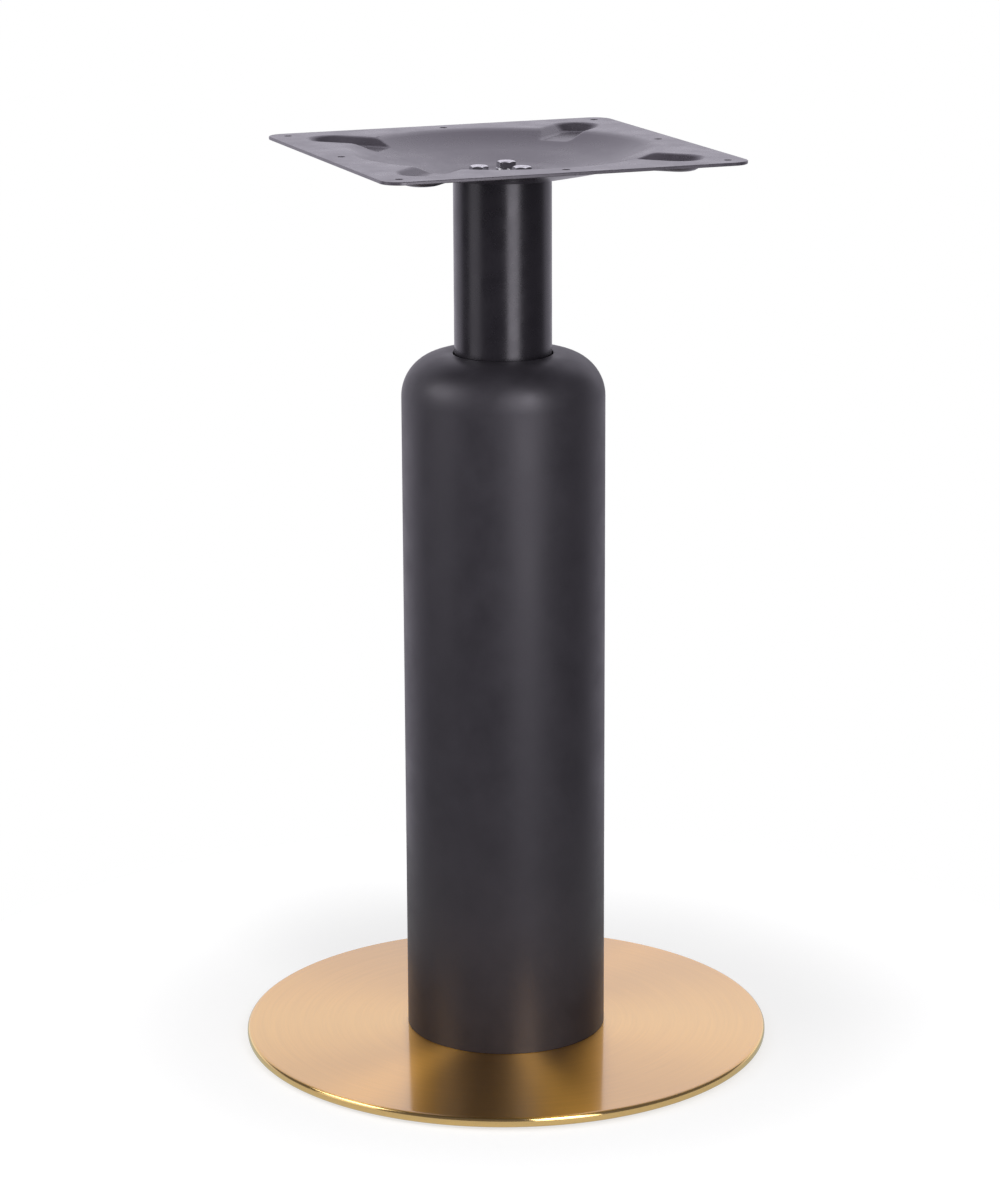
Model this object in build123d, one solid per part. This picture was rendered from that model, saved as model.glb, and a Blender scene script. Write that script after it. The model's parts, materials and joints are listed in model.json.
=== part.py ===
from build123d import *
import os
from math import atan2, cos, hypot, radians, sin, tan

# Pedestal table base: a round disc foot, a slim column tube inside a wide sleeve with a
# rounded shoulder, and a square pressed plate that takes the table top.
# The origin is on the floor under the column's axis, +Z is up, and the sides of the top
# plate lie along X and Y. All sizes are in millimetres and all angles in degrees.

# Whole base
OVERALL_HEIGHT = 720.0
THREAD_CLEARANCE = 0.05
BOLT_HOLE_CLEARANCE = 0.5
HEX_SIDES = 6

# Disc foot: a sheet cover rolled round a steel weight
FOOT_DIAMETER = 420.0
COVER_SHEET = 1.0
COVER_EDGE_RADIUS = 3.0
COVER_HEM_WIDTH = 8.0
WEIGHT_THICKNESS = 6.0
WEIGHT_RIM_CLEARANCE = 0.3

# Floor pads under the foot
GLIDE_COUNT = 6
GLIDE_DIAMETER = 28.0
GLIDE_PROUD = 2.5
GLIDE_EDGE_CHAMFER = 0.8
GLIDE_HEM_GAP = 3.0
GLIDE_STEM_DIAMETER = 8.0
GLIDE_STEM_LENGTH = 5.0
GLIDE_STEM_CLEARANCE = 0.1

# Countersunk screws that hold the column to the foot
SCREW_COUNT = 4
SCREW_DIAMETER = 8.0
SCREW_LENGTH = 12.0
SCREW_HEAD_DIAMETER = 15.8
SCREW_HEAD_LAND = 0.4
SCREW_HEAD_CLEARANCE = 0.2
SCREW_SOCKET_WIDTH = 5.0
SCREW_SOCKET_DEPTH = 2.8

# Column tube with its end flanges
TUBE_DIAMETER = 76.0
TUBE_WALL = 2.0
FOOT_FLANGE_THICKNESS = 6.0
HEAD_FLANGE_THICKNESS = 8.0
HEAD_FLANGE_CLEARANCE = 0.1
WELD_LEG = 4.0
WELD_BULGE = 0.3

# Sleeve over the tube
SLEEVE_DIAMETER = 159.0
SLEEVE_WALL = 2.0
SLEEVE_FLANGE_CLEARANCE = 0.3
SLEEVE_SHOULDER_RADIUS = 34.0
SLEEVE_EDGE_CHAMFER = 0.6
NECK_LENGTH = 137.0
NECK_GAP = 1.0

# Pressed top plate
PLATE_SIDE = 290.0
PLATE_SHEET = 2.5
PLATE_CORNER_RADIUS = 15.0
PLATE_EDGE_CHAMFER = 0.4
PLATE_HOLE_DIAMETER = 6.0
PLATE_HOLE_INSET = 15.0
DISH_DEPTH = 19.4
DISH_DIAMETER = 236.0
DISH_WALL_WIDTH = 23.0
DISH_WALL_DEPTH = 9.2
DISH_FLOOR_MARGIN = 8.5
DISH_FLOOR_BEND = 71.0
DISH_WALL_BEND = 150.0
DISH_RIM_BEND = 24.0
BEAD_DEPTH = 7.0
BEAD_WIDTH = 38.0
BEAD_WALL_SLOPE = 45.0
BEAD_CORNER_GAP = 35.0
BEAD_FLOOR_RADIUS = 5.0
BEAD_LIP_RADIUS = 5.0

# Hexagon bolts and flat washers in the dish
BOLT_COUNT = 3
BOLT_CIRCLE_DIAMETER = 38.5
BOLT_START_ANGLE = 60.0
BOLT_DIAMETER = 8.0
BOLT_LENGTH = 16.0
BOLT_HEAD_WIDTH = 13.0
BOLT_HEAD_HEIGHT = 5.3
BOLT_HEAD_CHAMFER = 0.4
BOLT_HEAD_CHAMFER_ANGLE = 30.0
WASHER_DIAMETER = 16.0
WASHER_THICKNESS = 1.6
WASHER_HOLE_CLEARANCE = 0.2

# Radii and levels that follow from the sizes above
foot_radius = FOOT_DIAMETER / 2
foot_bottom = GLIDE_PROUD
weight_bottom = foot_bottom + COVER_SHEET
weight_top = weight_bottom + WEIGHT_THICKNESS
foot_top = weight_top + COVER_SHEET
tube_radius = TUBE_DIAMETER / 2
tube_bore = tube_radius - TUBE_WALL
tube_bottom = foot_top + FOOT_FLANGE_THICKNESS
tube_top = OVERALL_HEIGHT - DISH_DEPTH - PLATE_SHEET
sleeve_radius = SLEEVE_DIAMETER / 2
sleeve_bore = sleeve_radius - SLEEVE_WALL
sleeve_top = tube_top - NECK_LENGTH
screw_circle_radius = (tube_radius + sleeve_bore) / 2
screw_radius = SCREW_DIAMETER / 2
bolt_radius = BOLT_DIAMETER / 2
dish_floor_level = OVERALL_HEIGHT - DISH_DEPTH


def turned(points, rounds):
    """Solid turned about Z from (radius, height) points; rounds gives the fillet of some corners."""
    radii = [rounds.get(index, 0) for index in range(len(points))]
    outline = FilletPolyline(*points, radius=radii, close=True)
    return revolve(Plane.XZ * make_face(outline), Axis.Z)


def upright(radius, bottom, top):
    """Cylinder about Z between two levels."""
    return Pos(0, 0, bottom) * extrude(Circle(radius), top - bottom)


def hexagon(width, bottom, height):
    """Hexagon prism about Z, with its size across the flats."""
    outline = RegularPolygon(width / 2, HEX_SIDES, major_radius=False)
    return Pos(0, 0, bottom) * extrude(outline, height)


def on_circle(radius, count, start=0.0):
    """Places evenly spread on a circle about Z."""
    return PolarLocations(radius, count, start)


def repeated(shape, places):
    """Copies of one shape at several places, as separate solids."""
    return [place * shape for place in places]


def screw_places():
    return on_circle(screw_circle_radius, SCREW_COUNT, 360 / SCREW_COUNT / 2)


def bolt_places():
    return on_circle(BOLT_CIRCLE_DIAMETER / 2, BOLT_COUNT, BOLT_START_ANGLE)


def glide_places():
    inset = COVER_HEM_WIDTH + GLIDE_HEM_GAP + GLIDE_DIAMETER / 2
    return on_circle(foot_radius - inset, GLIDE_COUNT)


def base_cover():
    """Sheet disc with a rolled rim that is hemmed under the weight in a tight fold."""
    inner_radius = foot_radius - COVER_SHEET
    hem_radius = foot_radius - COVER_HEM_WIDTH
    section = [
        (0, foot_top),
        (foot_radius, foot_top),
        (foot_radius, foot_bottom),
        (hem_radius, foot_bottom),
        (hem_radius, weight_bottom),
        (inner_radius, weight_bottom),
        (inner_radius, weight_top),
        (0, weight_top),
    ]
    rounds = {
        1: COVER_EDGE_RADIUS,
        2: COVER_SHEET,
        6: COVER_EDGE_RADIUS - COVER_SHEET,
    }
    hole = upright(screw_radius + BOLT_HOLE_CLEARANCE, weight_bottom, foot_top + COVER_SHEET)
    return turned(section, rounds) - repeated(hole, screw_places())


def countersink(clearance):
    """Cone of a screw head, from the underside of the weight upwards."""
    shank = screw_radius + clearance
    head = SCREW_HEAD_DIAMETER / 2 + clearance
    land_top = weight_bottom + SCREW_HEAD_LAND
    section = [
        (0, weight_bottom),
        (head, weight_bottom),
        (head, land_top),
        (shank, land_top + head - shank),
        (0, land_top + head - shank),
    ]
    return turned(section, {})


def base_weight():
    """Steel disc inside the cover, with holes for the screws and the pad stems."""
    rim = foot_radius - COVER_SHEET - WEIGHT_RIM_CLEARANCE
    relief = COVER_EDGE_RADIUS - COVER_SHEET
    section = [
        (0, weight_bottom),
        (rim, weight_bottom),
        (rim, weight_top - relief),
        (rim - relief, weight_top),
        (0, weight_top),
    ]
    shank_hole = upright(screw_radius + BOLT_HOLE_CLEARANCE, weight_bottom, weight_top)
    screw_hole = shank_hole + countersink(SCREW_HEAD_CLEARANCE)
    stem_hole = upright(GLIDE_STEM_DIAMETER / 2 + GLIDE_STEM_CLEARANCE, weight_bottom, weight_top)
    disc = turned(section, {})
    return disc - repeated(screw_hole, screw_places()) - repeated(stem_hole, glide_places())


def glide_pad():
    """Moulded pad with a stem that presses into the weight."""
    pad_radius = GLIDE_DIAMETER / 2
    stem_radius = GLIDE_STEM_DIAMETER / 2
    section = [
        (0, 0),
        (pad_radius - GLIDE_EDGE_CHAMFER, 0),
        (pad_radius, GLIDE_EDGE_CHAMFER),
        (pad_radius, weight_bottom),
        (stem_radius, weight_bottom),
        (stem_radius, weight_bottom + GLIDE_STEM_LENGTH),
        (0, weight_bottom + GLIDE_STEM_LENGTH),
    ]
    return turned(section, {})


def base_screw():
    """Countersunk screw with a hexagon socket, head down."""
    shank = upright(screw_radius, weight_bottom, weight_bottom + SCREW_LENGTH)
    socket = hexagon(SCREW_SOCKET_WIDTH, weight_bottom, SCREW_SOCKET_DEPTH)
    return shank + countersink(0) - socket


def foot_flange():
    """Round flange under the tube, tapped for the screws; its rim centres the sleeve."""
    tapped = upright(screw_radius + THREAD_CLEARANCE, foot_top, tube_bottom)
    disc = upright(sleeve_bore - SLEEVE_FLANGE_CLEARANCE, foot_top, tube_bottom)
    return disc - repeated(tapped, screw_places())


def weld_bead(wall_radius, outward, level, upward):
    """Ring of weld in the corner between a tube wall and a flange face, slightly crowned."""
    toe = (wall_radius + outward * WELD_LEG, level)
    top = (wall_radius, level + upward * WELD_LEG)
    reach = WELD_LEG / 2 + WELD_BULGE
    crown = (wall_radius + outward * reach, level + upward * reach)
    corner = (wall_radius, level)
    outline = Curve() + [Line(corner, toe), ThreePointArc(toe, crown, top), Line(top, corner)]
    return revolve(Plane.XZ * make_face(outline), Axis.Z)


def column_tube():
    return upright(tube_radius, tube_bottom, tube_top) - upright(tube_bore, tube_bottom, tube_top)


def head_flange():
    """Disc in the head of the tube, flush with its end and tapped for the plate bolts."""
    bottom = tube_top - HEAD_FLANGE_THICKNESS
    tapped = upright(bolt_radius + THREAD_CLEARANCE, bottom, tube_top)
    disc = upright(tube_bore - HEAD_FLANGE_CLEARANCE, bottom, tube_top)
    return disc - repeated(tapped, bolt_places())


def column_sleeve():
    """Wide shell that stands on the foot and closes round the tube with a rounded shoulder."""
    neck_hole = tube_radius + NECK_GAP
    section = [
        (sleeve_radius - SLEEVE_EDGE_CHAMFER, foot_top),
        (sleeve_radius, foot_top + SLEEVE_EDGE_CHAMFER),
        (sleeve_radius, sleeve_top),
        (neck_hole + SLEEVE_EDGE_CHAMFER, sleeve_top),
        (neck_hole, sleeve_top - SLEEVE_EDGE_CHAMFER),
        (neck_hole, sleeve_top - SLEEVE_WALL),
        (sleeve_bore, sleeve_top - SLEEVE_WALL),
        (sleeve_bore, foot_top),
    ]
    rounds = {2: SLEEVE_SHOULDER_RADIUS, 6: SLEEVE_SHOULDER_RADIUS - SLEEVE_WALL}
    return turned(section, rounds)


def dish_space(depth_below, headroom):
    """Turned space above the dish: flat floor, wall that steepens outwards, flat rim."""
    floor_corner = tube_radius + DISH_FLOOR_MARGIN
    rim_corner = DISH_DIAMETER / 2
    wall_corner = rim_corner - DISH_WALL_WIDTH
    floor_slope = atan2(DISH_DEPTH - DISH_WALL_DEPTH, wall_corner - floor_corner)
    rim_slope = atan2(DISH_WALL_DEPTH, rim_corner - wall_corner)
    middle_slope = (floor_slope + rim_slope) / 2
    push = depth_below / cos((rim_slope - floor_slope) / 2)
    section = [
        (0, -DISH_DEPTH - depth_below),
        (floor_corner + depth_below * tan(floor_slope / 2), -DISH_DEPTH - depth_below),
        (wall_corner + push * sin(middle_slope), -DISH_WALL_DEPTH - push * cos(middle_slope)),
        (rim_corner + depth_below * tan(rim_slope / 2), -depth_below),
        (PLATE_SIDE, -depth_below),
        (PLATE_SIDE, headroom),
        (0, headroom),
    ]
    rounds = {
        1: DISH_FLOOR_BEND + depth_below,
        2: DISH_WALL_BEND + depth_below,
        3: DISH_RIM_BEND - depth_below,
    }
    return turned(section, rounds)


def bead_space(depth_below, height):
    """Flat-bottomed slot along +X with sloping walls and a round end; it starts in the dish."""
    corner_centre = PLATE_SIDE / 2 - PLATE_CORNER_RADIUS
    corner_reach = hypot(corner_centre, corner_centre) + PLATE_CORNER_RADIUS
    wall_run = BEAD_DEPTH / tan(radians(BEAD_WALL_SLOPE))
    spread = depth_below * tan(radians(BEAD_WALL_SLOPE / 2)) - wall_run
    inner_end = tube_radius + DISH_FLOOR_MARGIN
    outer_end = corner_reach - BEAD_CORNER_GAP
    floor = SlotOverall(outer_end - inner_end + 2 * spread, BEAD_WIDTH + 2 * spread)
    slot = extrude(floor, height, taper=BEAD_WALL_SLOPE - 90)
    slot = fillet(slot.edges().group_by(Axis.Z)[0], BEAD_FLOOR_RADIUS + depth_below)
    return Pos((inner_end + outer_end) / 2, 0, -BEAD_DEPTH - depth_below) * slot


def pressed_space(depth_below):
    """Space above the pressed sheet's surface, which lies depth_below under its top surface.

    The dish and the four beads are pushed out by the same amount, so the difference of two
    such spaces is a sheet of even thickness. Levels are measured from the plate's top face.
    """
    headroom = 2 * BEAD_DEPTH - depth_below
    dish = dish_space(depth_below, headroom)
    towards_corners = [Rot(0, 0, angle) for angle in (45, 135, 225, 315)]
    beads = repeated(bead_space(depth_below, 2 * BEAD_DEPTH), towards_corners)
    pressed = dish + beads
    lips = new_edges(dish, *beads, combined=pressed)
    return fillet(lips, BEAD_LIP_RADIUS - depth_below)


def top_plate():
    """Square sheet pressed with a central dish and four diagonal beads, then drilled."""
    sheet = pressed_space(PLATE_SHEET) - pressed_space(0)
    depth = DISH_DEPTH + 2 * PLATE_SHEET
    outline = extrude(RectangleRounded(PLATE_SIDE, PLATE_SIDE, PLATE_CORNER_RADIUS), depth + PLATE_SHEET)
    plate = sheet & Pos(0, 0, -depth) * outline
    plate = chamfer(outline_edges(plate), PLATE_EDGE_CHAMFER)
    pitch = PLATE_SIDE / 2 - PLATE_HOLE_INSET
    fixing_hole = upright(PLATE_HOLE_DIAMETER / 2, -depth, PLATE_SHEET)
    fixing_places = [Pos(x, y) for x in (-pitch, 0, pitch) for y in (-pitch, 0, pitch) if x or y]
    bolt_hole = upright(bolt_radius + BOLT_HOLE_CLEARANCE, -depth, PLATE_SHEET)
    plate = plate - repeated(fixing_hole, fixing_places) - repeated(bolt_hole, bolt_places())
    return Pos(0, 0, OVERALL_HEIGHT) * plate


def outline_edges(plate):
    """Level edges round the outside of the plate, on its top and bottom faces."""
    reach = PLATE_SIDE / 2 - PLATE_CORNER_RADIUS / 2
    edges = []
    for edge in plate.edges():
        centre = edge.center()
        level = edge.bounding_box().size.Z < PLATE_EDGE_CHAMFER
        if level and max(abs(centre.X), abs(centre.Y)) > reach:
            edges.append(edge)
    return edges


def plate_bolt():
    """Hexagon bolt with a chamfered head, seated on its washer."""
    seat = dish_floor_level + WASHER_THICKNESS
    top = seat + BOLT_HEAD_HEIGHT
    flat_radius = BOLT_HEAD_WIDTH / 2
    corner_radius = flat_radius / cos(radians(180 / HEX_SIDES))
    rim = flat_radius - BOLT_HEAD_CHAMFER
    drop = (corner_radius - rim) * tan(radians(BOLT_HEAD_CHAMFER_ANGLE))
    section = [(0, seat), (corner_radius, seat), (corner_radius, top - drop), (rim, top), (0, top)]
    envelope = turned(section, {})
    prism = hexagon(BOLT_HEAD_WIDTH, seat, BOLT_HEAD_HEIGHT)
    return (prism & envelope) + upright(bolt_radius, seat - BOLT_LENGTH, seat)


def plate_washer():
    hole_radius = bolt_radius + WASHER_HOLE_CLEARANCE
    top = dish_floor_level + WASHER_THICKNESS
    return upright(WASHER_DIAMETER / 2, dish_floor_level, top) - upright(hole_radius, dish_floor_level, top)


nodes = {
    "base_cover": base_cover(),
    "base_weight": base_weight(),
    "base_screws": Compound(children=repeated(base_screw(), screw_places())),
    "foot_flange": foot_flange(),
    "foot_weld": weld_bead(tube_radius, 1, tube_bottom, 1),
    "column_tube": column_tube(),
    "head_flange": head_flange(),
    "head_weld": weld_bead(tube_bore, -1, tube_top - HEAD_FLANGE_THICKNESS, -1),
    "column_sleeve": column_sleeve(),
    "top_plate": top_plate(),
    "plate_washers": Compound(children=repeated(plate_washer(), bolt_places())),
    "plate_bolts": Compound(children=repeated(plate_bolt(), bolt_places())),
}
for number, pad in enumerate(repeated(glide_pad(), glide_places()), start=1):
    nodes[f"glide_pad_{number}"] = pad

os.makedirs("parts", exist_ok=True)
for name, shape in nodes.items():
    export_step(shape, f"parts/{name}.step")
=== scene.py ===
import json
import math

import bmesh
import bpy
from mathutils import Matrix, Vector


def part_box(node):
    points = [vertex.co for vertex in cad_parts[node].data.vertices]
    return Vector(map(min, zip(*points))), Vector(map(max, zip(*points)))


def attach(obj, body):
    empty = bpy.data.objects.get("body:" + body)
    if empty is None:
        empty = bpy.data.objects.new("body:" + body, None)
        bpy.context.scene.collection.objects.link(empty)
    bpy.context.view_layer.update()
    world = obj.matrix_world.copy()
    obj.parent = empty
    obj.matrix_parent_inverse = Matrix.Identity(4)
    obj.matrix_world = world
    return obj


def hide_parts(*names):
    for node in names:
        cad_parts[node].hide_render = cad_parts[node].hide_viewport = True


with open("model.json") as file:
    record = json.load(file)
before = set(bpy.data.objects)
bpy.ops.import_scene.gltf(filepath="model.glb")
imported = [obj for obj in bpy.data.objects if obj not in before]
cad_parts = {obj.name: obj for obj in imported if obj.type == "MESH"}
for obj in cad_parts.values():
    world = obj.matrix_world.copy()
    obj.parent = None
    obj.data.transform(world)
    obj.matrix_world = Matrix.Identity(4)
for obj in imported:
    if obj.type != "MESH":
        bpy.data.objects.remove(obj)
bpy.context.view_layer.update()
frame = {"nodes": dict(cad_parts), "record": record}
scene = bpy.context.scene

MM = 0.001

# Sizes that the frame's boxes don't give, in metres
SLEEVE_WALL = 2.0 * MM
SLEEVE_SHOULDER_RADIUS = 34.0 * MM
SLEEVE_EDGE_RADIUS = 0.7 * MM
NECK_GAP = 1.0 * MM
TUBE_WALL = 2.0 * MM
TUBE_EDGE_RADIUS = 0.3 * MM
COVER_SHEET = 1.0 * MM
COVER_EDGE_RADIUS = 3.0 * MM
COVER_HEM_WIDTH = 8.0 * MM
COVER_HEM_RADIUS = 0.3 * MM
WASHER_DIAMETER = 16.0 * MM
WASHER_HOLE_DIAMETER = 8.2 * MM
WASHER_EDGE_RADIUS = 0.25 * MM
BOLT_COUNT = 3
BOLT_CIRCLE_RADIUS = 19.25 * MM
BOLT_START_ANGLE = 60.0
BOLT_HEAD_WIDTH = 13.0 * MM
BOLT_HEAD_HEIGHT = 5.3 * MM
BOLT_HEAD_CHAMFER = 0.5 * MM
BOLT_HEAD_EDGE = 0.25 * MM
BOLT_SUNK_SHARE = 0.72
BOLT_RING_SHARE = 0.78
BOLT_CHAMFER_ANGLE = 30.0
BOLT_DIAMETER = 8.0 * MM
THREAD_PITCH = 1.25 * MM
THREAD_DEPTH = 0.65 * MM
GLIDE_COUNT = 6
GLIDE_STEM_DIAMETER = 8.0 * MM
GLIDE_PROUD = 2.5 * MM
GLIDE_EDGE_RADIUS = 0.8 * MM
GLIDE_GROOVE_WIDTH = 1.6 * MM
GLIDE_GROOVE_DEPTH = 0.5 * MM
GLIDE_GROOVE_PITCH = 3.6 * MM
GLIDE_GROOVE_LEAST = GLIDE_GROOVE_WIDTH * 1.5

# How finely the pieces are cut, and how close points are made one
ARC_STEP = math.radians(5.0)
SHARP_ANGLE = math.radians(35.0)
LARGE_TURN = 360
MIDDLE_TURN = 240
SMALL_TURN = 96
BOLT_TURN = 48
THREAD_RINGS = 8
WELD_DISTANCE = 0.001 * MM

# The camera, fitted to the photo: pixels, sensor millimetres, metres and radians
PHOTO_HEIGHT = 1200.0
FOCAL_PIXELS = 3642.85
SENSOR = 36.0
CAMERA_AZIMUTH = math.radians(-21.13)
CAMERA_DISTANCE = 2.78317
CAMERA_LEVEL = 1.09257
CAMERA_PITCH = 0.2566
CAMERA_YAW = -0.0012
CAMERA_ROLL = 0.0047

UP = Vector((0.0, 0.0, 1.0))


def heading(azimuth):
    """Level unit vector from the column towards a camera at that azimuth."""
    return Vector((math.sin(azimuth), -math.cos(azimuth), 0.0))


# Geometry helpers

def rounded(points, radii):
    """Closed outline through (radius, level) points, some corners turned into arcs."""
    outline = []
    count = len(points)
    for index in range(count):
        corner = Vector(points[index])
        radius = radii.get(index, 0.0)
        if radius == 0.0:
            outline.append(corner)
            continue
        before = (Vector(points[index - 1]) - corner).normalized()
        after = (Vector(points[(index + 1) % count]) - corner).normalized()
        half = before.angle(after) / 2.0
        centre = corner + (before + after).normalized() * radius / math.sin(half)
        start = corner + before * radius / math.tan(half) - centre
        end = corner + after * radius / math.tan(half) - centre
        turn = math.atan2(start.x * end.y - start.y * end.x, start.dot(end))
        steps = max(3, math.ceil(abs(turn) / ARC_STEP))
        for step in range(steps + 1):
            outline.append(centre + Matrix.Rotation(turn * step / steps, 2) @ start)
    return outline


def turned(mesh, outline, segments, axis_x=0.0, axis_y=0.0):
    """Adds the outline, turned round an upright axis, to a bmesh."""
    rings = []
    for point in outline:
        ring = []
        for step in range(segments):
            angle = math.tau * step / segments
            x = axis_x + point.x * math.cos(angle)
            y = axis_y + point.x * math.sin(angle)
            ring.append(mesh.verts.new((x, y, point.y)))
        rings.append(ring)
    for index in range(len(rings)):
        low = rings[index - 1]
        high = rings[index]
        for step in range(segments):
            across = step - 1
            mesh.faces.new((low[across], low[step], high[step], high[across]))


def new_object(name, data):
    """A new object of that data, linked to the scene."""
    made = bpy.data.objects.new(name, data)
    scene.collection.objects.link(made)
    return made


def piece(name, mesh, slot, *nodes):
    """Turns a bmesh into an object that stands for the CAD nodes."""
    bmesh.ops.remove_doubles(mesh, verts=mesh.verts, dist=WELD_DISTANCE)
    bmesh.ops.recalc_face_normals(mesh, faces=mesh.faces)
    data = bpy.data.meshes.new(name)
    mesh.to_mesh(data)
    mesh.free()
    for face in data.polygons:
        face.use_smooth = True
    data.set_sharp_from_angle(angle=SHARP_ANGLE)
    made = new_object(name, data)
    data.materials.append(materials[slot])
    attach(made, "root")
    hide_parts(*nodes)


# Material helpers

def add(tree, kind, sockets=None, **settings):
    """Adds a node; a socket takes a value or the output that feeds it."""
    made = tree.nodes.new(kind)
    for key, value in settings.items():
        setattr(made, key, value)
    for key, value in (sockets or {}).items():
        if isinstance(value, bpy.types.NodeSocket):
            tree.links.new(value, made.inputs[key])
        else:
            made.inputs[key].default_value = value
    return made


def math_node(tree, operation, *values):
    """The result of a calculation with values or outputs."""
    made = add(tree, "ShaderNodeMath", operation=operation)
    for index, value in enumerate(values):
        if isinstance(value, bpy.types.NodeSocket):
            tree.links.new(value, made.inputs[index])
        else:
            made.inputs[index].default_value = value
    return made.outputs[0]


def share_along(tree, vector, direction):
    """How far a unit vector points in that direction, from -1 to 1."""
    sockets = {0: vector, 1: direction}
    return add(tree, "ShaderNodeVectorMath", sockets, operation="DOT_PRODUCT").outputs["Value"]


def weighed(tree, first, share, second):
    """A mix that holds that share of the first value and the rest of the second."""
    rest = math_node(tree, "MULTIPLY", second, 1.0 - share)
    return math_node(tree, "MULTIPLY_ADD", first, share, rest)


def spread(tree, value, low, high, from_low=0.3, from_high=0.7, smooth=False):
    """A value between from_low and from_high, laid out from low to high."""
    sockets = {
        "Value": value,
        "From Min": from_low,
        "From Max": from_high,
        "To Min": low,
        "To Max": high,
    }
    kind = "SMOOTHSTEP" if smooth else "LINEAR"
    return add(tree, "ShaderNodeMapRange", sockets, interpolation_type=kind).outputs["Result"]


def blend(tree, kind, factor, first, second):
    """A blend of two values or two colours: the first at 0 and the second at 1."""
    made = add(tree, "ShaderNodeMix", data_type=kind)
    for key, value in (("Factor", factor), ("A", first), ("B", second)):
        sockets = [s for s in made.inputs if s.name == key and s.enabled]
        if isinstance(value, bpy.types.NodeSocket):
            tree.links.new(value, sockets[0])
        else:
            sockets[0].default_value = value
    return [s for s in made.outputs if s.enabled][0]


def blend_colour(tree, factor, first, second):
    return blend(tree, "RGBA", factor, first, second)


def blend_value(tree, factor, first, second):
    return blend(tree, "FLOAT", factor, first, second)


def noise(tree, vector, scale, detail=3.0, roughness=0.5):
    """Noise from 0 to 1; on object coordinates the scale is per metre."""
    sockets = {"Vector": vector, "Scale": scale, "Detail": detail, "Roughness": roughness}
    return add(tree, "ShaderNodeTexNoise", sockets).outputs["Fac"]


def bump(tree, height, depth):
    """A normal for fine relief of that depth."""
    sockets = {"Height": height, "Distance": depth}
    return add(tree, "ShaderNodeBump", sockets).outputs["Normal"]


def start(name):
    """A new material with its tree, shader and object coordinates."""
    made = bpy.data.materials.new(name)
    made.use_nodes = True
    tree = made.node_tree
    shader = tree.nodes["Principled BSDF"]
    place = add(tree, "ShaderNodeTexCoord").outputs["Object"]
    return made, tree, shader, place


def feed(tree, shader, **sockets):
    """Links outputs to the shader's sockets, named with _ for a space."""
    for key, value in sockets.items():
        tree.links.new(value, shader.inputs[key.replace("_", " ")])


def tone(colour, factor):
    """The colour, darker or lighter, with its alpha."""
    return (colour[0] * factor, colour[1] * factor, colour[2] * factor, 1.0)


def powder_coat(name, colour, roughness, grain, depth, patch, shine):
    """Sprayed and baked black: orange peel, fine flecks and faint cloudy patches."""
    made, tree, shader, place = start(name)
    peel = noise(tree, place, 1.0 / grain, detail=2.0, roughness=0.55)
    fleck = noise(tree, place, COAT_FLECKS / grain, detail=1.0)
    cloud = noise(tree, place, 1.0 / patch, detail=4.0, roughness=0.6)
    height = math_node(tree, "MULTIPLY_ADD", fleck, COAT_FLECK_HEIGHT, peel)
    mottle = spread(tree, weighed(tree, fleck, COAT_FLECK_SHARE, cloud), 0.0, 1.0)
    paint = blend_colour(tree, mottle, *(tone(colour, shade) for shade in COAT_SHADES))
    rough = spread(tree, cloud, roughness - COAT_UNEVEN, roughness + COAT_UNEVEN)
    feed(tree, shader, Base_Color=paint, Roughness=rough, Normal=bump(tree, height, depth))
    shader.inputs["Specular IOR Level"].default_value = shine
    shader.inputs["Specular Tint"].default_value = COAT_TINT
    return made


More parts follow.
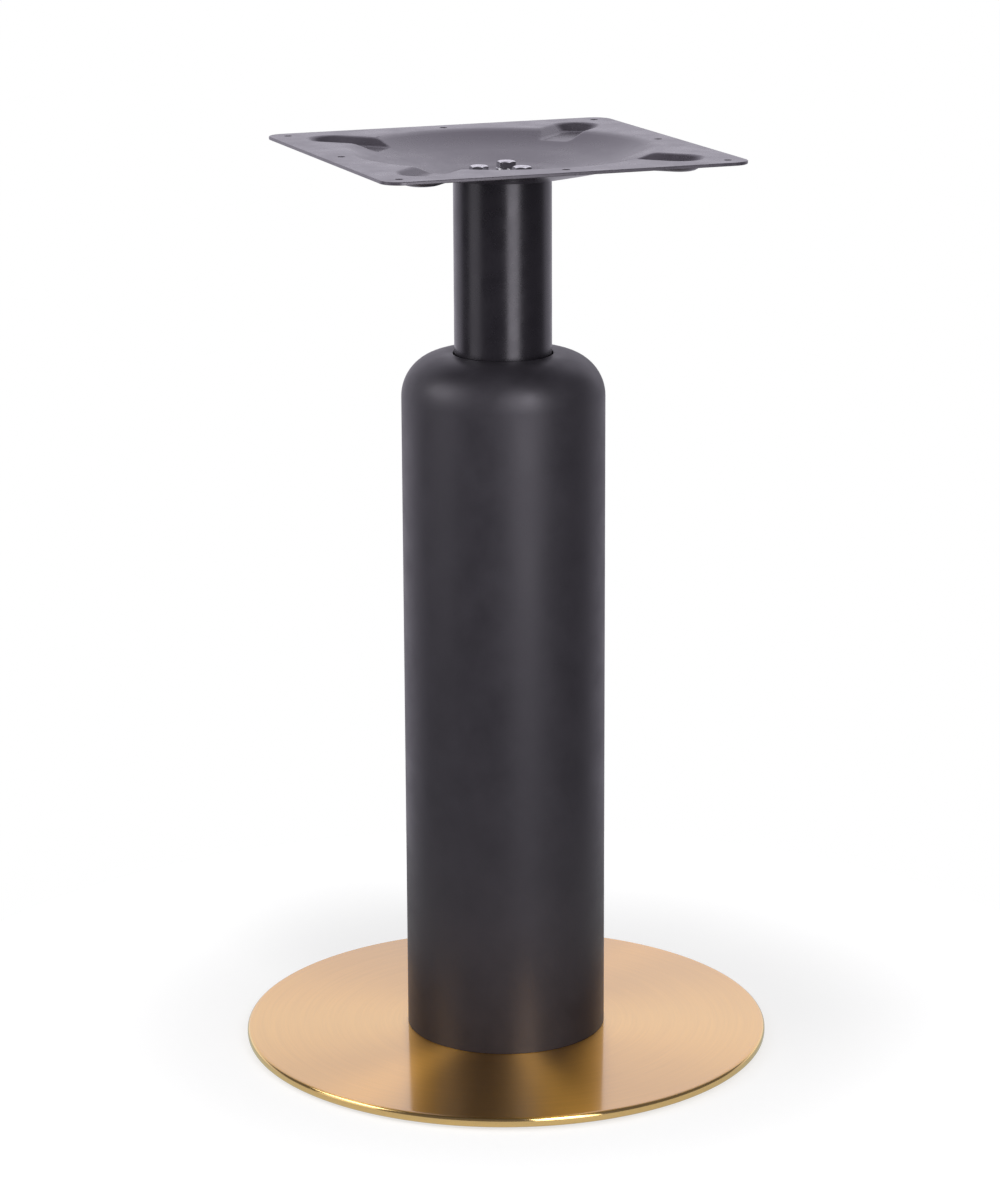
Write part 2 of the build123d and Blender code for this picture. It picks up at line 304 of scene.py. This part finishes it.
def brushed_brass(name):
    """Brass-coloured steel: top brushed in circles, rim polished."""
    made, tree, shader, place = start(name)
    parts = add(tree, "ShaderNodeSeparateXYZ", {"Vector": place})
    flat = add(tree, "ShaderNodeCombineXYZ", {"X": parts.outputs["X"], "Y": parts.outputs["Y"]})
    reach = add(tree, "ShaderNodeVectorMath", {0: flat.outputs[0]}, operation="LENGTH")
    round_way = add(tree, "ShaderNodeVectorMath", {0: flat.outputs[0]}, operation="NORMALIZE")
    turn = add(tree, "ShaderNodeSeparateXYZ", {"Vector": round_way.outputs["Vector"]})
    along = math_node(tree, "SUBTRACT", reach.outputs["Value"], parts.outputs["Z"])

    def lines(density, arc):
        """Brush lines: so many per metre along the profile, stretched round the disc."""
        sockets = {
            "X": math_node(tree, "MULTIPLY", along, density),
            "Y": math_node(tree, "MULTIPLY", turn.outputs["X"], arc),
            "Z": math_node(tree, "MULTIPLY", turn.outputs["Y"], arc),
        }
        vector = add(tree, "ShaderNodeCombineXYZ", sockets).outputs[0]
        return noise(tree, vector, 1.0, detail=2.0, roughness=0.6)

    fine = lines(BRUSH_FINE, BRUSH_FINE_ARC)
    broad = lines(BRUSH_BROAD, BRUSH_BROAD_ARC)
    cloud = noise(tree, place, BRASS_CLOUDS, roughness=0.55)
    facing = add(tree, "ShaderNodeNewGeometry").outputs["Normal"]
    upward = add(tree, "ShaderNodeSeparateXYZ", {"Vector": facing}).outputs["Z"]
    on_top = spread(tree, upward, 0.0, 1.0, *BRASS_TOP_FACING, True)
    shade = spread(tree, weighed(tree, broad, BRUSH_BROAD_SHARE, fine), 0.0, 1.0, 0.35, 0.65)
    top = blend_colour(tree, shade, *(tone(BRASS_TOP, step) for step in BRASS_SHADES))
    rim = blend_colour(tree, shade, *(tone(BRASS_RIM, step) for step in BRASS_SHADES))
    colour = blend_colour(tree, on_top, rim, top)
    scratch = spread(tree, fine, -BRUSH_UNEVEN, BRUSH_UNEVEN)
    worn = math_node(tree, "MULTIPLY_ADD", cloud, BRASS_UNEVEN, scratch)
    top_rough = math_node(tree, "ADD", worn, BRASS_TOP_ROUGHNESS - BRASS_UNEVEN / 2.0)
    rim_rough = math_node(tree, "ADD", worn, BRASS_RIM_ROUGHNESS - BRASS_UNEVEN / 2.0)
    rough = blend_value(tree, on_top, rim_rough, top_rough)
    tangent = add(tree, "ShaderNodeTangent", direction_type="RADIAL", axis="Z")
    feed(tree, shader, Base_Color=colour, Roughness=rough, Tangent=tangent.outputs[0])
    feed(tree, shader, Normal=bump(tree, fine, BRUSH_DEPTH))
    shader.inputs["Metallic"].default_value = 1.0
    shader.inputs["Specular Tint"].default_value = BRASS_GRAZING_TINT
    shader.inputs["Coat Weight"].default_value = 1.0
    shader.inputs["Coat Roughness"].default_value = BRASS_COAT_ROUGHNESS
    shader.inputs["Coat IOR"].default_value = BRASS_COAT_IOR
    shader.inputs["Anisotropic"].default_value = BRASS_ANISOTROPY
    shader.inputs["Anisotropic Rotation"].default_value = BRASS_ANISOTROPY_TURN
    return made


def zinc_plate(name):
    """Bright zinc: pale metal with small soft facets."""
    made, tree, shader, place = start(name)
    sockets = {"Vector": place, "Scale": ZINC_FACETS}
    facets = add(tree, "ShaderNodeTexVoronoi", sockets, feature="F1")
    shade = spread(tree, facets.outputs["Distance"], 0.0, 1.0, 0.0, 0.9)
    cloud = noise(tree, place, ZINC_CLOUDS, roughness=0.6)
    colour = blend_colour(tree, shade, ZINC_DARK, ZINC_LIGHT)
    feed(tree, shader, Base_Color=colour, Roughness=spread(tree, cloud, *ZINC_ROUGHNESS))
    feed(tree, shader, Normal=bump(tree, cloud, ZINC_DEPTH))
    shader.inputs["Metallic"].default_value = 1.0
    return made


def mill_steel(name):
    """Plain rolled steel with rolling streaks and dull patches."""
    made, tree, shader, place = start(name)
    stretched = add(tree, "ShaderNodeMapping", {"Vector": place, "Scale": STEEL_STRETCH})
    streak = noise(tree, stretched.outputs["Vector"], STEEL_STREAKS, detail=4.0, roughness=0.6)
    cloud = noise(tree, place, STEEL_CLOUDS, detail=5.0, roughness=0.6)
    shade = spread(tree, weighed(tree, streak, STEEL_STREAK_SHARE, cloud), 0.0, 1.0)
    colour = blend_colour(tree, shade, STEEL_DARK, STEEL_LIGHT)
    feed(tree, shader, Base_Color=colour, Roughness=spread(tree, cloud, *STEEL_ROUGHNESS))
    feed(tree, shader, Normal=bump(tree, streak, STEEL_DEPTH))
    shader.inputs["Metallic"].default_value = 1.0
    return made


def moulded_rubber(name):
    """Matt black pad with a fine moulded grain and a little dust."""
    made, tree, shader, place = start(name)
    grain = noise(tree, place, PAD_GRAINS, detail=2.0)
    dust = noise(tree, place, PAD_DUST, detail=5.0, roughness=0.65)
    colour = blend_colour(tree, spread(tree, dust, 0.0, 1.0), PAD_DARK, PAD_DUSTY)
    feed(tree, shader, Base_Color=colour, Roughness=spread(tree, dust, *PAD_ROUGHNESS))
    feed(tree, shader, Normal=bump(tree, grain, PAD_DEPTH))
    return made


# Materials: colours in linear light, depths in metres, the rest per metre or as shares

BRASS_TOP = (0.85, 0.44, 0.075)
BRASS_RIM = (0.88, 0.55, 0.12)
BRASS_GRAZING_TINT = (0.90, 1.0, 0.74, 1.0)
BRASS_TOP_ROUGHNESS = 0.38
BRASS_RIM_ROUGHNESS = 0.16
BRASS_TOP_FACING = (0.6, 0.98)
BRASS_SHADES = (0.96, 1.03)
BRASS_CLOUDS = 14.0
BRASS_UNEVEN = 0.06
BRASS_ANISOTROPY = 0.93
BRASS_ANISOTROPY_TURN = 0.25
BRASS_COAT_IOR = 2.3
BRASS_COAT_ROUGHNESS = 0.10
BRUSH_FINE = 2600.0
BRUSH_FINE_ARC = 7.0
BRUSH_BROAD = 420.0
BRUSH_BROAD_ARC = 1.6
BRUSH_BROAD_SHARE = 0.6
BRUSH_UNEVEN = 0.015
BRUSH_DEPTH = 0.004 * MM

COAT_TINT = (1.0, 0.95, 1.06, 1.0)
COAT_SHADES = (0.72, 1.28)
COAT_UNEVEN = 0.05
COAT_FLECKS = 3.1
COAT_FLECK_HEIGHT = 0.35
COAT_FLECK_SHARE = 0.5

ZINC_DARK = (0.62, 0.62, 0.63, 1.0)
ZINC_LIGHT = (0.76, 0.76, 0.78, 1.0)
ZINC_ROUGHNESS = (0.13, 0.24)
ZINC_FACETS = 900.0
ZINC_CLOUDS = 220.0
ZINC_DEPTH = 0.02 * MM

STEEL_DARK = (0.26, 0.26, 0.27, 1.0)
STEEL_LIGHT = (0.46, 0.46, 0.47, 1.0)
STEEL_ROUGHNESS = (0.36, 0.52)
STEEL_STRETCH = (1.0, 12.0, 12.0)
STEEL_STREAKS = 60.0
STEEL_STREAK_SHARE = 0.5
STEEL_CLOUDS = 22.0
STEEL_DEPTH = 0.03 * MM

PAD_DARK = (0.018, 0.018, 0.019, 1.0)
PAD_DUSTY = (0.045, 0.044, 0.043, 1.0)
PAD_ROUGHNESS = (0.62, 0.82)
PAD_GRAINS = 1500.0
PAD_DUST = 90.0
PAD_DEPTH = 0.06 * MM

materials = {
    "brushed_brass": brushed_brass("brushed_brass"),
    "matt_black": powder_coat(
        "matt_black",
        colour=(0.0205, 0.0187, 0.0232),
        roughness=0.46,
        grain=1.1 * MM,
        depth=0.03 * MM,
        patch=30.0 * MM,
        shine=0.58,
    ),
    "satin_black": powder_coat(
        "satin_black",
        colour=(0.0075, 0.0066, 0.0087),
        roughness=0.28,
        grain=1.6 * MM,
        depth=0.012 * MM,
        patch=20.0 * MM,
        shine=0.55,
    ),
    # Plate paint: a lighter black, partly its own tone and partly painted sheen for low-angle
    # light
    "plate_black": powder_coat(
        "plate_black",
        colour=(0.051, 0.0455, 0.0568),
        roughness=0.29,
        grain=1.0 * MM,
        depth=0.014 * MM,
        patch=25.0 * MM,
        shine=0.8,
    ),
    "raw_steel": mill_steel("raw_steel"),
    "zinc": zinc_plate("zinc"),
    "pad": moulded_rubber("pad"),
}

for subpart in frame["record"]["subparts"]:
    node = frame["nodes"][subpart["node"]]
    node.data.materials.clear()
    node.data.materials.append(materials[subpart["material_slot"]])


# Column sleeve with its rounded shoulder

sleeve_low, sleeve_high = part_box("column_sleeve")
tube_low, tube_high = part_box("column_tube")
sleeve_radius = sleeve_high.x
tube_radius = tube_high.x
neck_hole = tube_radius + NECK_GAP
outline = rounded(
    [
        (sleeve_radius, sleeve_low.z),
        (sleeve_radius, sleeve_high.z),
        (neck_hole, sleeve_high.z),
        (neck_hole, sleeve_high.z - SLEEVE_WALL),
        (sleeve_radius - SLEEVE_WALL, sleeve_high.z - SLEEVE_WALL),
        (sleeve_radius - SLEEVE_WALL, sleeve_low.z),
    ],
    {
        0: SLEEVE_EDGE_RADIUS,
        1: SLEEVE_SHOULDER_RADIUS,
        2: SLEEVE_EDGE_RADIUS,
        4: SLEEVE_SHOULDER_RADIUS - SLEEVE_WALL,
    },
)
mesh = bmesh.new()
turned(mesh, outline, LARGE_TURN)
piece("sleeve_shell", mesh, "matt_black", "column_sleeve")

# Slim tube that shows as the neck

outline = rounded(
    [
        (tube_radius, tube_low.z),
        (tube_radius, tube_high.z),
        (tube_radius - TUBE_WALL, tube_high.z),
        (tube_radius - TUBE_WALL, tube_low.z),
    ],
    {1: TUBE_EDGE_RADIUS, 2: TUBE_EDGE_RADIUS},
)
mesh = bmesh.new()
turned(mesh, outline, MIDDLE_TURN)
piece("neck_tube", mesh, "satin_black", "column_tube")

# Disc cover: top sheet, rounded rim and the hem folded under

cover_low, cover_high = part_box("base_cover")
cover_radius = cover_high.x
inner_radius = cover_radius - COVER_SHEET
hem_radius = cover_radius - COVER_HEM_WIDTH
outline = rounded(
    [
        (0.0, cover_high.z),
        (cover_radius, cover_high.z),
        (cover_radius, cover_low.z),
        (hem_radius, cover_low.z),
        (hem_radius, cover_low.z + COVER_SHEET),
        (inner_radius, cover_low.z + COVER_SHEET),
        (inner_radius, cover_high.z - COVER_SHEET),
        (0.0, cover_high.z - COVER_SHEET),
    ],
    {
        1: COVER_EDGE_RADIUS,
        2: COVER_EDGE_RADIUS,
        3: COVER_HEM_RADIUS,
        4: COVER_HEM_RADIUS,
    },
)
mesh = bmesh.new()
turned(mesh, outline, LARGE_TURN)
piece("disc_cover", mesh, "brushed_brass", "base_cover")


# Hexagon bolts in the dish, each on its washer

def hexagon_reach(angle, flat):
    """Distance from the axis to the side of a hexagon in that direction."""
    sector = math.tau / 6.0
    return flat / math.cos((angle + sector / 2.0) % sector - sector / 2.0)


def hexagon_bolt(mesh, axis_x, axis_y, tip, seat, high):
    """One closed bolt: a head with its corners cut by a cone and a sunk middle, and a thread."""
    flat = BOLT_HEAD_WIDTH / 2.0
    crown = flat - BOLT_HEAD_CHAMFER
    slope = math.tan(math.radians(BOLT_CHAMFER_ANGLE))
    radius = BOLT_DIAMETER / 2.0
    count = max(2, round((seat - tip) / THREAD_PITCH * THREAD_RINGS))

    def line(share):
        """(reach, level) points in one direction, from the middle of the top to the tip's."""
        side = hexagon_reach(math.tau * share, flat)
        points = [
            (0.0, high - BOLT_HEAD_EDGE),
            (crown * BOLT_SUNK_SHARE, high - BOLT_HEAD_EDGE),
            (crown * BOLT_RING_SHARE, high),
            (crown, high),
            (side, high - (side - crown) * slope),
            (side, seat + BOLT_HEAD_EDGE),
            (side - BOLT_HEAD_EDGE, seat),
        ]
        for index in range(count + 1):
            z = seat - (seat - tip) * index / count
            run_out = min(1.0, min(z - tip, seat - z) / THREAD_PITCH)
            turn = (z / THREAD_PITCH - share) % 1.0
            points.append((radius - THREAD_DEPTH * (1.0 - abs(2.0 * turn - 1.0)) * run_out, z))
        points.append((0.0, tip))
        return points

    columns = []
    for step in range(BOLT_TURN):
        angle = math.tau * step / BOLT_TURN
        column = []
        for reach, z in line(step / BOLT_TURN):
            x = axis_x + reach * math.cos(angle)
            y = axis_y + reach * math.sin(angle)
            column.append(mesh.verts.new((x, y, z)))
        columns.append(column)
    for step in range(BOLT_TURN):
        near = columns[step - 1]
        far = columns[step]
        for index in range(1, len(far)):
            mesh.faces.new((near[index - 1], far[index - 1], far[index], near[index]))


bolt_low, bolt_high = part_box("plate_bolts")
washer_low, washer_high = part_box("plate_washers")
bolts = bmesh.new()
washers = bmesh.new()
washer_outline = rounded(
    [
        (WASHER_DIAMETER / 2.0, washer_low.z),
        (WASHER_DIAMETER / 2.0, washer_high.z),
        (WASHER_HOLE_DIAMETER / 2.0, washer_high.z),
        (WASHER_HOLE_DIAMETER / 2.0, washer_low.z),
    ],
    {0: WASHER_EDGE_RADIUS, 1: WASHER_EDGE_RADIUS},
)
for number in range(BOLT_COUNT):
    angle = math.radians(BOLT_START_ANGLE) + math.tau * number / BOLT_COUNT
    bolt_x = BOLT_CIRCLE_RADIUS * math.cos(angle)
    bolt_y = BOLT_CIRCLE_RADIUS * math.sin(angle)
    seat = bolt_high.z - BOLT_HEAD_HEIGHT
    hexagon_bolt(bolts, bolt_x, bolt_y, bolt_low.z, seat, bolt_high.z)
    turned(washers, washer_outline, SMALL_TURN, bolt_x, bolt_y)
piece("hexagon_bolts", bolts, "zinc", "plate_bolts")
piece("flat_washers", washers, "zinc", "plate_washers")

# Floor pads with ring grooves on the sole

for number in range(1, GLIDE_COUNT + 1):
    node = f"glide_pad_{number}"
    pad_low, pad_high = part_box(node)
    pad_x = (pad_low.x + pad_high.x) / 2.0
    pad_y = (pad_low.y + pad_high.y) / 2.0
    pad_radius = (pad_high.x - pad_low.x) / 2.0
    stem_radius = GLIDE_STEM_DIAMETER / 2.0
    pad_top = pad_low.z + GLIDE_PROUD
    points = [
        (0.0, pad_high.z),
        (stem_radius, pad_high.z),
        (stem_radius, pad_top),
        (pad_radius, pad_top),
        (pad_radius, pad_low.z),
    ]
    groove = pad_radius - GLIDE_GROOVE_PITCH
    while groove > GLIDE_GROOVE_LEAST:
        points.append((groove, pad_low.z))
        points.append((groove - GLIDE_GROOVE_WIDTH / 2.0, pad_low.z + GLIDE_GROOVE_DEPTH))
        points.append((groove - GLIDE_GROOVE_WIDTH, pad_low.z))
        groove -= GLIDE_GROOVE_PITCH
    points.append((0.0, pad_low.z))
    mesh = bmesh.new()
    turned(mesh, rounded(points, {4: GLIDE_EDGE_RADIUS}), SMALL_TURN, pad_x, pad_y)
    piece(f"floor_pad_{number}", mesh, "pad", node)


# Studio: metres and radians; a glow or radiance of 1 is white; azimuths are from the camera's

FLOOR_RADIUS = 0.52
FLOOR_GLOW = 0.68
FLOOR_EDGE_GLOW = 0.86
FLOOR_FADE = (0.22, 0.46)
FLOOR_REFLECTED = 0.28
FLOOR_ALBEDO = 0.35
FLOOR_MOTTLE = 0.01
FLOOR_GRAINS = 160.0
AMBIENT = 0.10
STUDIO_DARK = 0.05
STUDIO_FLOOR = 0.17
STUDIO_BAND = 0.13
WHITE = (1.0, 1.0, 1.0, 1.0)
BACKDROP_TINT = (1.0, 0.96, 1.08, 1.0)
BACKDROP_EDGE = (0.16, 0.54)
BACKDROP_NARROWING = 0.30
BACKDROP_NARROWS = (0.05, 0.30)
BACKDROP_LOW = (0.92, 0.70)
BACKDROP_LOW_ACROSS = (-0.6, 0.2)
BACKDROP_HIGH = (0.90, 1.0)
BACKDROP_HIGH_ACROSS = (-0.15, 0.10)
BACKDROP_HIGH_FROM = (0.16, 0.32)
HORIZON = (0.0, 0.10)
CEILING = (0.80, 0.97)
LEAST_LEVEL_SHARE = 0.05
KEY_AZIMUTH = math.radians(24.5)
KEY_DISTANCE = 1.8
KEY_SIZE = (0.84, 1.95)
KEY_LEVEL = 0.98
KEY_RADIANCE = 3.6
KEY_HIGH_AZIMUTH = math.radians(26.0)
KEY_HIGH_SIZE = (0.5, 1.1)
KEY_HIGH_RADIANCE = 6.4
FILL_AZIMUTH = math.radians(-68.0)
FILL_DISTANCE = 1.7
FILL_SIZE = (0.88, 1.95)
FILL_LEVEL = 0.98
FILL_RADIANCE = 0.95
FILL_HIGH_AZIMUTH = math.radians(-80.0)
FILL_HIGH_SIZE = (1.1, 1.0)
FILL_HIGH_RADIANCE = 3.6
HIGH_LEVEL = 1.55
TOP_LEVEL = 2.6
TOP_SIZE = (1.5, 1.5)
TOP_RADIANCE = 2.0
FRONT_AZIMUTH = math.radians(-30.0)
FRONT_DISTANCE = 1.0
FRONT_LEVEL = 0.9
FRONT_SIZE = (0.8, 0.5)
FRONT_RADIANCE = 3.6

# World: white to the camera; in reflections a white backdrop behind the column and a dim studio
# round the rest; an even low light on matt surfaces

world = bpy.data.worlds.new("studio")
scene.world = world
world.use_nodes = True
tree = world.node_tree
tree.nodes.clear()
ways = add(tree, "ShaderNodeTexCoord").outputs["Generated"]
behind = -heading(CAMERA_AZIMUTH)
back = share_along(tree, ways, behind)
side = share_along(tree, ways, behind.cross(UP))
rise = share_along(tree, ways, UP)
steep = math_node(tree, "MULTIPLY", rise, rise)
level_share = math_node(tree, "SQRT", math_node(tree, "SUBTRACT", 1.0, steep))
level_share = math_node(tree, "MAXIMUM", level_share, LEAST_LEVEL_SHARE)
narrowing = spread(tree, rise, 0.0, BACKDROP_NARROWING, *BACKDROP_NARROWS, True)
level_back = math_node(tree, "DIVIDE", back, level_share)
inside = math_node(tree, "SUBTRACT", level_back, narrowing)
back_white = spread(tree, inside, 0.0, 1.0, *BACKDROP_EDGE, True)
above = spread(tree, rise, 0.0, 1.0, *HORIZON, True)
below_top = spread(tree, rise, 1.0, 0.0, *CEILING, True)
band = math_node(tree, "MULTIPLY", above, below_top)
ground = spread(tree, rise, STUDIO_FLOOR, STUDIO_DARK, *HORIZON, True)
front = math_node(tree, "MULTIPLY_ADD", band, STUDIO_BAND - STUDIO_DARK, ground)
low_fade = spread(tree, side, *BACKDROP_LOW, *BACKDROP_LOW_ACROSS, True)
high_fade = spread(tree, side, *BACKDROP_HIGH, *BACKDROP_HIGH_ACROSS, True)
aloft = spread(tree, rise, 0.0, 1.0, *BACKDROP_HIGH_FROM, True)
fade = blend_value(tree, above, low_fade, blend_value(tree, aloft, 1.0, high_fade))
white = math_node(tree, "MULTIPLY", back_white, below_top)
backdrop = math_node(tree, "MULTIPLY", white, fade)
seen = math_node(tree, "MAXIMUM", front, backdrop)
path = add(tree, "ShaderNodeLightPath")
shiny = math_node(
    tree, "MAXIMUM", path.outputs["Is Glossy Ray"], path.outputs["Is Transmission Ray"]
)
lit = blend_value(tree, shiny, AMBIENT, seen)
shown = blend_value(tree, path.outputs["Is Camera Ray"], lit, 1.0)
colour = blend_colour(tree, path.outputs["Is Camera Ray"], BACKDROP_TINT, WHITE)
glow = add(tree, "ShaderNodeBackground", {"Strength": shown, "Color": colour})
add(tree, "ShaderNodeOutputWorld", {"Surface": glow.outputs[0]})


# Lamps: the front and top ones light matt surfaces and aren't mirrored

def area_light(name, size, radiance):
    """Rectangular light that shines down until it is turned."""
    lamp = bpy.data.lights.new(name, "AREA")
    lamp.shape = "RECTANGLE"
    lamp.size, lamp.size_y = size
    lamp.energy = radiance * math.pi * size[0] * size[1]
    return new_object(name, lamp)


def softbox(name, azimuth, distance, level, size, radiance):
    """Upright light that faces the column; its azimuth is from the camera's."""
    made = area_light(name, size, radiance)
    made.location = heading(CAMERA_AZIMUTH + azimuth) * distance + UP * level
    aim = UP * level - made.location
    made.rotation_euler = aim.to_track_quat("-Z", "Y").to_euler()
    return made


softbox("key_light", KEY_AZIMUTH, KEY_DISTANCE, KEY_LEVEL, KEY_SIZE, KEY_RADIANCE)
softbox("fill_light", FILL_AZIMUTH, FILL_DISTANCE, FILL_LEVEL, FILL_SIZE, FILL_RADIANCE)
softbox(
    "high_key", KEY_HIGH_AZIMUTH, KEY_DISTANCE, HIGH_LEVEL, KEY_HIGH_SIZE, KEY_HIGH_RADIANCE
)
softbox(
    "high_fill", FILL_HIGH_AZIMUTH, FILL_DISTANCE, HIGH_LEVEL, FILL_HIGH_SIZE, FILL_HIGH_RADIANCE
)
front_light = softbox(
    "front_light", FRONT_AZIMUTH, FRONT_DISTANCE, FRONT_LEVEL, FRONT_SIZE, FRONT_RADIANCE
)
front_light.visible_glossy = False
top_light = area_light("top_light", TOP_SIZE, TOP_RADIANCE)
top_light.location = UP * TOP_LEVEL
top_light.visible_glossy = False

# Pale floor: nearly white to the camera, dimmer in reflections, clear from below; it keeps the
# soft shadow

floor_paint = bpy.data.materials.new("pale_floor")
floor_paint.use_nodes = True
tree = floor_paint.node_tree
tree.nodes.clear()
path = add(tree, "ShaderNodeLightPath")
place = add(tree, "ShaderNodeTexCoord").outputs["Object"]
grain = noise(tree, place, FLOOR_GRAINS)
grain = spread(tree, grain, FLOOR_ALBEDO - FLOOR_MOTTLE, FLOOR_ALBEDO + FLOOR_MOTTLE)
chalk = add(tree, "ShaderNodeBsdfDiffuse", {"Color": grain})
reflected = math_node(tree, "MULTIPLY", path.outputs["Is Glossy Ray"], FLOOR_REFLECTED)
reach = add(tree, "ShaderNodeVectorMath", {0: place}, operation="LENGTH").outputs["Value"]
glow = spread(tree, reach, FLOOR_GLOW, FLOOR_EDGE_GLOW, *FLOOR_FADE, True)
strength = math_node(tree, "MULTIPLY_ADD", path.outputs["Is Camera Ray"], glow, reflected)
shine = add(tree, "ShaderNodeEmission", {"Strength": strength})
both = add(tree, "ShaderNodeAddShader", {0: chalk.outputs[0], 1: shine.outputs[0]})
clear = add(tree, "ShaderNodeBsdfTransparent")
under = add(tree, "ShaderNodeNewGeometry").outputs["Backfacing"]
sides = add(tree, "ShaderNodeMixShader", {0: under, 1: both.outputs[0], 2: clear.outputs[0]})
add(tree, "ShaderNodeOutputMaterial", {"Surface": sides.outputs[0]})

mesh = bmesh.new()
bmesh.ops.create_circle(mesh, cap_ends=True, segments=SMALL_TURN, radius=FLOOR_RADIUS)
data = bpy.data.meshes.new("floor")
mesh.to_mesh(data)
mesh.free()
floor = new_object("floor", data)
data.materials.append(floor_paint)

# Camera

lens = bpy.data.cameras.new("photo_camera")
lens.sensor_width = SENSOR
lens.lens = FOCAL_PIXELS / PHOTO_HEIGHT * SENSOR
camera = new_object("photo_camera", lens)
inward = -heading(CAMERA_AZIMUTH)
sideways = inward.cross(UP)
level_way = inward * math.cos(CAMERA_YAW) + sideways * math.sin(CAMERA_YAW)
forward = level_way * math.cos(CAMERA_PITCH) - UP * math.sin(CAMERA_PITCH)
right = forward.cross(UP).normalized()
down = forward.cross(right)
image_right = right * math.cos(CAMERA_ROLL) + down * math.sin(CAMERA_ROLL)
image_down = down * math.cos(CAMERA_ROLL) - right * math.sin(CAMERA_ROLL)
turn = Matrix((image_right, -image_down, -forward)).transposed().to_4x4()
spot = heading(CAMERA_AZIMUTH) * CAMERA_DISTANCE + UP * CAMERA_LEVEL
camera.matrix_world = Matrix.Translation(spot) @ turn
scene.camera = camera

scene.view_settings.view_transform = "Standard"
